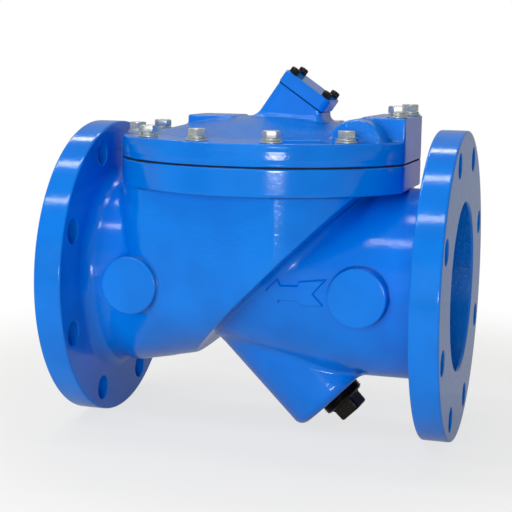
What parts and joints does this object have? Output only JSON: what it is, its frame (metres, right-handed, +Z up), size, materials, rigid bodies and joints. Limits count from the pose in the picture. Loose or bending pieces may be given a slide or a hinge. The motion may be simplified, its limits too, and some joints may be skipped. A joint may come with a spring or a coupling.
{
  "type": "swing non-return valve",
  "caption": "Flanged swing non-return valve: blue painted iron body with a bolted top cover, rubber flapper on an oblique seat.",
  "frame": {"origin": "on the pipe's centre line, half way between the two flange faces", "axes": "+X along the pipe, out of the inlet flange, so flow runs towards -X; +Y across, parallel to the hinge; +Z up, towards the cover"},
  "size_m": [0.3556, 0.2794, 0.334],
  "materials": {
    "blue_epoxy_paint": "gloss epoxy paint on cast iron",
    "gasket_sheet": "matte compressed sheet",
    "zinc_plated_steel": "zinc plated",
    "black_oxide_steel": "black oxide",
    "nitrile_rubber": "matte moulded rubber",
    "stainless_steel": "turned"
  },
  "bodies": {
    "valve": {"valve_body": "blue_epoxy_paint", "bonnet_cover": "blue_epoxy_paint", "indicator_cover_plate": "blue_epoxy_paint", "cover_gasket": "gasket_sheet", "indicator_gasket": "gasket_sheet", "cover_bolt_01": "zinc_plated_steel", "cover_bolt_02": "zinc_plated_steel", "cover_bolt_03": "zinc_plated_steel", "cover_bolt_04": "zinc_plated_steel", "cover_bolt_05": "zinc_plated_steel", "cover_bolt_06": "zinc_plated_steel", "cover_bolt_07": "zinc_plated_steel", "cover_bolt_08": "zinc_plated_steel", "cover_bolt_09": "zinc_plated_steel", "cover_bolt_10": "zinc_plated_steel", "cover_bolt_11": "zinc_plated_steel", "cover_bolt_12": "zinc_plated_steel", "spring_washer_01": "zinc_plated_steel", "spring_washer_02": "zinc_plated_steel", "spring_washer_03": "zinc_plated_steel", "spring_washer_04": "zinc_plated_steel", "spring_washer_05": "zinc_plated_steel", "spring_washer_06": "zinc_plated_steel", "spring_washer_07": "zinc_plated_steel", "spring_washer_08": "zinc_plated_steel", "spring_washer_09": "zinc_plated_steel", "spring_washer_10": "zinc_plated_steel", "spring_washer_11": "zinc_plated_steel", "spring_washer_12": "zinc_plated_steel", "flat_washer_01": "zinc_plated_steel", "flat_washer_02": "zinc_plated_steel", "flat_washer_03": "zinc_plated_steel", "flat_washer_04": "zinc_plated_steel", "flat_washer_05": "zinc_plated_steel", "flat_washer_06": "zinc_plated_steel", "flat_washer_07": "zinc_plated_steel", "flat_washer_08": "zinc_plated_steel", "flat_washer_09": "zinc_plated_steel", "flat_washer_10": "zinc_plated_steel", "flat_washer_11": "zinc_plated_steel", "flat_washer_12": "zinc_plated_steel", "indicator_screw_1": "black_oxide_steel", "indicator_screw_2": "black_oxide_steel", "indicator_screw_3": "black_oxide_steel", "indicator_screw_4": "black_oxide_steel", "drain_plug": "black_oxide_steel", "hinge_pin": "stainless_steel"},
    "flapper": {"flapper_rubber": "nitrile_rubber", "flapper_steel_disc": "stainless_steel"}
  },
  "joints": [
    {"name": "flapper_swing", "type": "hinge", "parent": "valve", "child": "flapper", "pos_m": [0.0879, 0, 0.10746], "axis": [0, 1, 0], "range_deg": [0, 35]}
  ]
}
